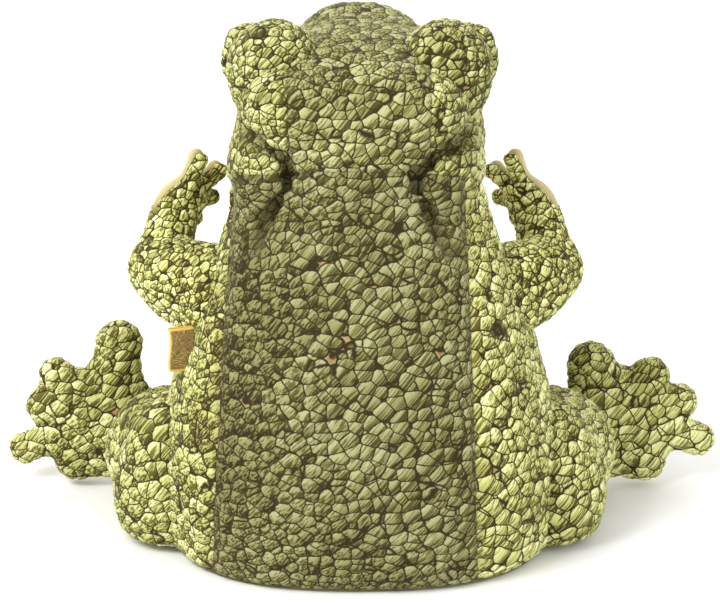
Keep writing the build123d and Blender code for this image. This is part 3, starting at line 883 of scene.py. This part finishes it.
bulge_skin = panels_of(
    eye_bulge, (10, -36, 180), (66, 26, 240), limb_step, [], all_one, lambda p: np.full(len(p), 99.0), 0.3
)
for name, side in SIDES:
    points, faces, values = bulge_skin["bulge"]
    made = object_of(f"eye_bulge_{name}_skin", *flipped(points, faces, side), values)
    dress(made, bulge_cloth, small_relief, thick=0)
    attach(made, "head")
    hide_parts(f"eye_bulge_{name}", f"eye_fill_{name}", f"eye_washer_{name}")
    eye = frame["nodes"][f"eye_{name}"]
    eye.data.materials.clear()
    eye.data.materials.append(eye_plastic(side))
    eye.data.shade_smooth()


# ---- Sheets inside: base panel, mouth linings, sleeve -----------------------------------
def reach(field, middle, across, upward, angle, inset):
    """How far a field's inside goes from a point, at an angle in a plane."""
    radii = np.arange(0, 130, 0.25)
    way = cos(angle) * np.array(across) + sin(angle) * np.array(upward)
    at = [middle[i] + radii * way[i] for i in range(3)]
    inside = field(at) < -inset
    return radii[inside.nonzero()[0][-1]], way


def ring_faces(rings, turns):
    """Quads between each ring of points and the next."""
    faces = []
    for ring in range(rings):
        for turn in range(turns):
            a, b = ring * turns + turn, ring * turns + (turn + 1) % turns
            faces.append([a, a + turns, b + turns, b])
    return faces


def disc(name, middle, across, upward, edge, inner, rings, turns, rise):
    """A sheet from an inner radius out to edge(angle), with rise(share) out of its plane."""
    normal = np.cross(across, upward)
    points = []
    for ring in range(rings + 1):
        share = ring / rings
        for turn in range(turns):
            far, way = edge(2 * pi * turn / turns)
            radius = inner + (far - inner) * share
            points.append(np.array(middle) + radius * way + rise(share) * normal)
    return object_of(name, np.array(points), ring_faces(rings, turns), {"seam": np.zeros(len(points))})


X, Y, Z = np.eye(3)


def base_edge(angle):
    return reach(body, (0, BASE_Y, BASE), X, Y, angle, 0.0)


BASE_Y = 4  # the base is this far behind its hole
BASE_RINGS, BASE_TURNS = 14, 160
base = disc(
    "base_panel_sheet", (0, BASE_Y, BASE), X, Y, base_edge, HOLE, BASE_RINGS, BASE_TURNS,
    lambda share: -0.2 * sin(pi * share),
)
base_points = np.array([v.co for v in base.data.vertices])
for ring in range(BASE_RINGS + 1):
    here = slice(ring * BASE_TURNS, (ring + 1) * BASE_TURNS)
    base_points[here, 1] -= BASE_Y * MM * (1 - ring / BASE_RINGS)
base.data.vertices.foreach_set("co", base_points.astype(np.float32).ravel())
dress(base, base_cloth, None, thick=1.0, smooth=0)
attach(base, "torso")
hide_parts("base_panel")


def mouth_edge(angle):
    far, way = reach(body, HINGE - 44 * MOUTH_BACK, X, MOUTH_BACK, angle, 2.4)
    backward = way @ MOUTH_BACK
    return (min(far, 43.5 / backward) if backward > 0 else far), way


for name, sense in (("upper", 1), ("lower", -1)):
    sheet = disc(
        f"mouth_lining_{name}", HINGE - 44 * MOUTH_BACK + 0.5 * sense * MOUTH_UP, X, MOUTH_BACK, mouth_edge,
        0.01, 26, 96, lambda s, k=sense: -k * 1.6 * (1 - s**3),
    )
    dress(sheet, rose_cloth, None, thick=0, smooth=1)
    if name == "upper":
        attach(sheet, "head")
        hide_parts("palate_lining", "upper_mouth_board")
    else:
        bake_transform(sheet)
        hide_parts("jaw_lining", "lower_mouth_board")


# The sleeve for the hand: height, radius and middle in Y.
SLEEVE = smooth_table([
    (7, 44, 0), (40, 43, 0), (80, 41, 0), (118, 39, 1), (140, 36, 4), (158, 33, 0), (170, 31, -5),
])
SLEEVE_LOW, SLEEVE_HIGH = 7, 170
turns, rings = 120, 60
points = []
for ring in range(rings + 1):
    height = SLEEVE_LOW + (SLEEVE_HIGH - SLEEVE_LOW) * ring / rings
    radius, middle = SLEEVE[0](height), SLEEVE[1](height)
    for turn in range(turns):
        angle = 2 * pi * turn / turns
        gather = 0.7 * sin(9 * angle + height / 23) * min(1, ring / 12)
        points.append(((radius + gather) * cos(angle), middle + (radius + gather) * sin(angle), height))
sleeve = object_of("hand_sleeve_sheet", np.array(points), ring_faces(rings, turns))
dress(sleeve, lining_cloth, None, thick=0.8, smooth=0)
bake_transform(sleeve)
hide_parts("hand_sleeve", "neck_sleeve")

KEPT_NODES = {"opening_hem": hem_cloth, "finger_pocket": lining_cloth, "thumb_pocket": lining_cloth}
for node, cloth in KEPT_NODES.items():
    kept = frame["nodes"][node]
    kept.data.materials.clear()
    kept.data.materials.append(cloth)


# ---- Care label and stitches ---------------------------------------------------------------
def leather():
    """Golden-brown tape: hatched brown face and raw, paler edges."""
    made, nodes, shader = material("label_tape")
    place = nodes.add("ShaderNodeAttribute", attribute_name="print_at").outputs["Vector"]
    rim = nodes.add("ShaderNodeAttribute", attribute_name="seam").outputs["Fac"]
    stretched = nodes.vector("MULTIPLY", place, (900.0, 900.0, 2600.0))
    hatch = nodes.noise(stretched, 1.0, 3.0, 0.7).outputs[0]
    patch = nodes.noise(place, 240.0, 3.0).outputs[0]
    face = nodes.mix(nodes.ramp(hatch, 0.42, 0.58), linear(176, 152, 84), linear(66, 46, 18))
    face = nodes.mix(nodes.ramp(patch, 0.4, 0.7), face, linear(128, 100, 50))
    colour = nodes.mix(nodes.ramp(rim, 0.35, 0.75), face, linear(224, 178, 82))
    nodes.put(shader.inputs["Base Color"], colour)
    shader.inputs["Roughness"].default_value = 0.6
    bump = nodes.add("ShaderNodeBump", {"Height": hatch, "Strength": 0.5, "Distance": 0.0003})
    nodes.put(shader.inputs["Normal"], bump.outputs[0])
    return made


tag_low, tag_high = (np.array(corner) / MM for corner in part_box("label_tag"))
tag_root = np.array([tag_low[0] - 1, (tag_low[1] + tag_high[1]) / 2 - 1.5, tag_low[2]])
tag_way = unit([0.96, 0.28, 0])
tag_side = np.cross(Z, tag_way)
tag_length, tag_tall, loop = 11.5, 20.0, 1.5
profile = [(0.0, -loop), (tag_length - 2, -loop)]
profile += [(tag_length - 2 + 2 * sin(a), -loop * cos(a)) for a in np.linspace(0, pi, 9)[1:]]
profile += [(0.0, loop * 0.6)]
dense = []
for a, b in zip(profile, profile[1:]):
    count = max(1, int(np.hypot(b[0] - a[0], b[1] - a[1]) / 0.8))
    dense += [(a[0] + (b[0] - a[0]) * k / count, a[1] + (b[1] - a[1]) * k / count) for k in range(count)]
dense.append(profile[-1])
rows = 26
points, faces, rim = [], [], []
for row in range(rows + 1):
    high = tag_tall * row / rows
    lean = 0.10 * (high - tag_tall / 2) + 0.6 * sin(high / 5)
    for out, through in dense:
        curl = 1.3 * (out / tag_length) ** 2 * sin(pi * row / rows)
        outward = (out + 0.4 * sin(high / 3.1)) * tag_way
        points.append(tag_root + outward + (through + curl + 0.4 * lean) * tag_side + high * Z)
        end_rim = np.exp(-((min(row, rows - row) / 1.6) ** 2))
        rim.append(max(end_rim, np.exp(-(((tag_length - out) / 0.9) ** 2))))
wide = len(dense)
for row in range(rows):
    for k in range(wide - 1):
        a = row * wide + k
        faces.append([a, a + 1, a + 1 + wide, a + wide])
tag = object_of("label_tag_loop", np.array(points), faces, {"seam": rim})
dress(tag, leather(), None, thick=0.7, smooth=1)
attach(tag, "torso")
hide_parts("label_tag")


def stitches(name, places, ways, long, thick, body_name):
    """Short thread stitches, each a small bent tube from one point along its way."""
    points, faces = [], []
    around = 6
    for place, way in zip(places, ways):
        side = unit(np.cross(way, Z if abs(way[2]) < 0.9 else X))
        lift = np.cross(side, way)
        first = len(points)
        for k in range(5):
            share = k / 4 - 0.5
            middle = np.array(place) + way * long * share + lift * thick * (0.6 - 2.4 * share**2)
            radius = thick / 2 * (1 - 1.6 * share**2)
            for turn in range(around):
                a = 2 * pi * turn / around
                points.append(middle + radius * (cos(a) * side + sin(a) * lift))
        for k in range(4):
            for turn in range(around):
                a, b = first + k * around + turn, first + k * around + (turn + 1) % around
                faces.append([a, b, b + around, a + around])
        faces.append([first + t for t in range(around)][::-1])
        faces.append([first + 4 * around + t for t in range(around)])
    made = object_of(name, np.array(points), faces)
    made.data.materials.append(thread)
    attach(made, body_name)
    return made


angles = np.linspace(0, 2 * pi, 72, endpoint=False)
stitches(
    "hem_stitches",
    [(48.3 * cos(a), 48.3 * sin(a), 4.5) for a in angles],
    [unit([-sin(a), cos(a), 0]) for a in angles],
    2.8, 0.6, "torso",
)

# ---- Floor, light and camera ------------------------------------------------------------------
bpy.ops.mesh.primitive_plane_add(size=8, location=(0, 0, -0.0005))
floor = bpy.context.object
floor.name = "floor"
paper, nodes, shader = material("floor_paper")
shader.inputs["Base Color"].default_value = (0.93, 0.93, 0.925, 1)
shader.inputs["Roughness"].default_value = 0.7
floor.data.materials.append(paper)

world = bpy.data.worlds.new("studio")
bpy.context.scene.world = world
world.use_nodes = True
world.node_tree.nodes["Background"].inputs[0].default_value = (1, 1, 1, 1)
world.node_tree.nodes["Background"].inputs[1].default_value = 0.85


def area(name, place, aim, size, power):
    light = bpy.data.lights.new(name, "AREA")
    light.size = size
    light.energy = power
    obj = bpy.data.objects.new(name, light)
    bpy.context.scene.collection.objects.link(obj)
    obj.location = place
    obj.rotation_euler = (Vector(aim) - Vector(place)).to_track_quat("-Z", "Y").to_euler()


area("key", (0.85, 0.75, 1.15), (0, 0, 0.1), 0.7, 19)
area("fill", (-0.9, 1.0, 0.6), (0, 0, 0.1), 1.2, 7)
area("front", (0.3, -1.2, 0.9), (0, 0, 0.1), 1.2, 6)

bpy.context.scene.view_settings.view_transform = "Standard"

ELEVATION, DISTANCE, TARGET = radians(17), 1.15, Vector((0, 0, 0.105))
camera = bpy.data.cameras.new("camera")
camera.sensor_width = 36
camera.lens = 127.8
viewpoint = bpy.data.objects.new("camera", camera)
bpy.context.scene.collection.objects.link(viewpoint)
viewpoint.location = TARGET + DISTANCE * Vector((0, cos(ELEVATION), sin(ELEVATION)))
viewpoint.rotation_euler = (TARGET - viewpoint.location).to_track_quat("-Z", "Y").to_euler()
bpy.context.scene.camera = viewpoint
